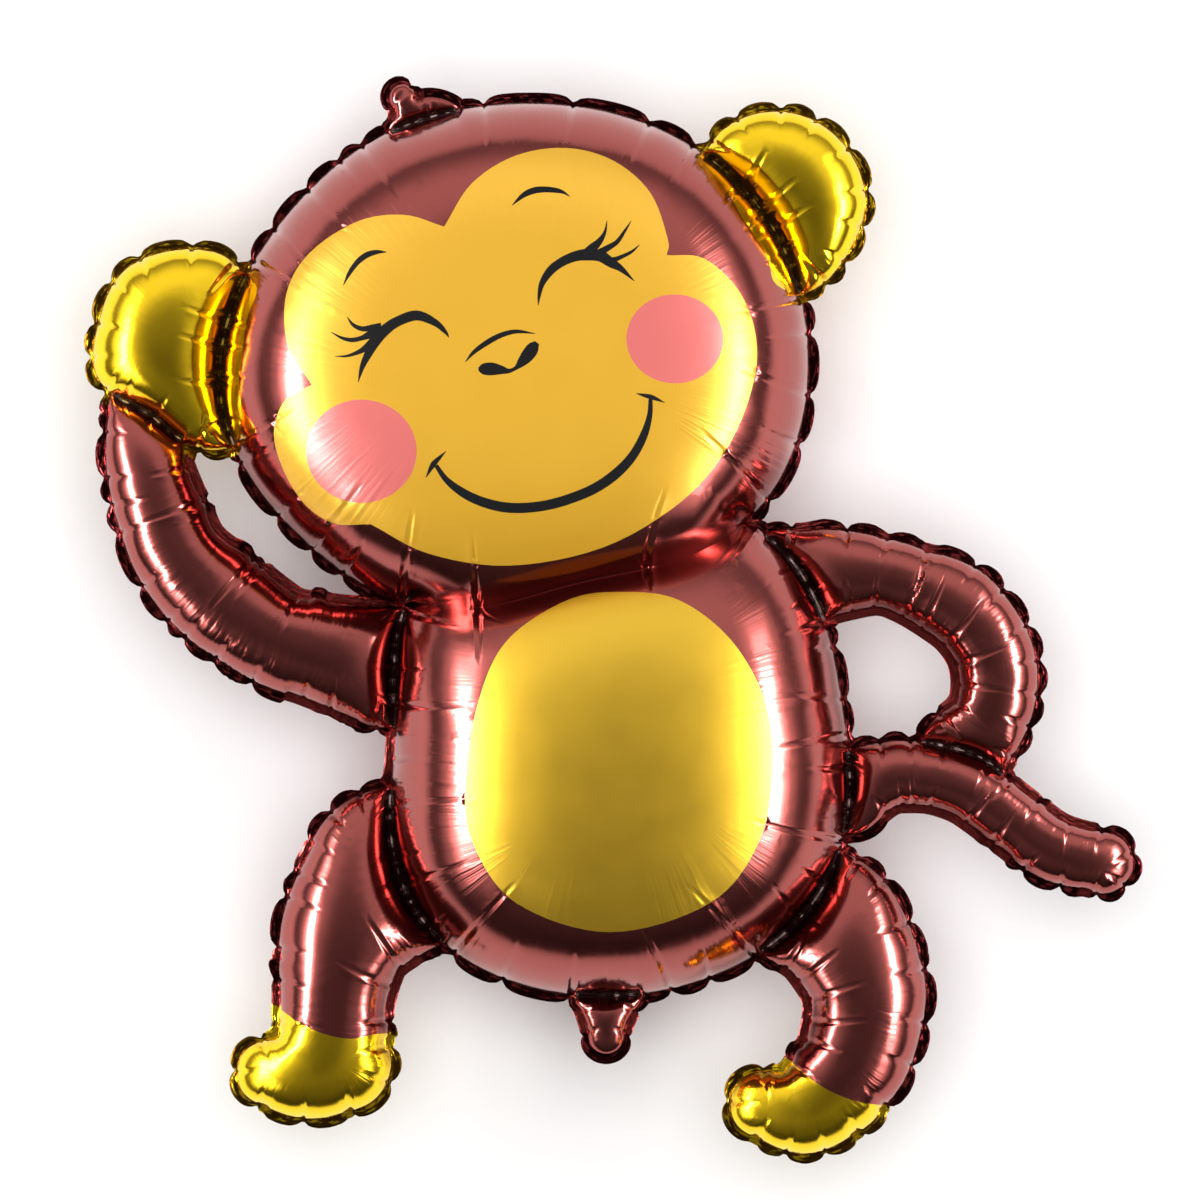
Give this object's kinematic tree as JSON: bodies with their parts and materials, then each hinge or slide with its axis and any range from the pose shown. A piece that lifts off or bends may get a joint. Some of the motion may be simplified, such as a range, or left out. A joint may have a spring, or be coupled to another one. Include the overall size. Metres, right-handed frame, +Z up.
{
  "type": "monkey foil balloon",
  "caption": "Inflated foil balloon in the shape of a smiling, waving monkey, with a flat welded rim, a filling neck and a small hanging tab. Lies on its back as a party decoration.",
  "frame": {"origin": "on the floor below the middle of the balloon's outline", "axes": "+Z up out of the face side, +Y towards the top of the head, +X towards the figure's lowered arm and tail"},
  "size_m": [0.7816, 0.8034, 0.2352],
  "materials": {
    "printed_film": "metallised plastic film with a mirror-like shine, printed brown, gold and yellow"
  },
  "bodies": {
    "root": {"foil_balloon": "printed_film"}
  },
  "joints": []
}
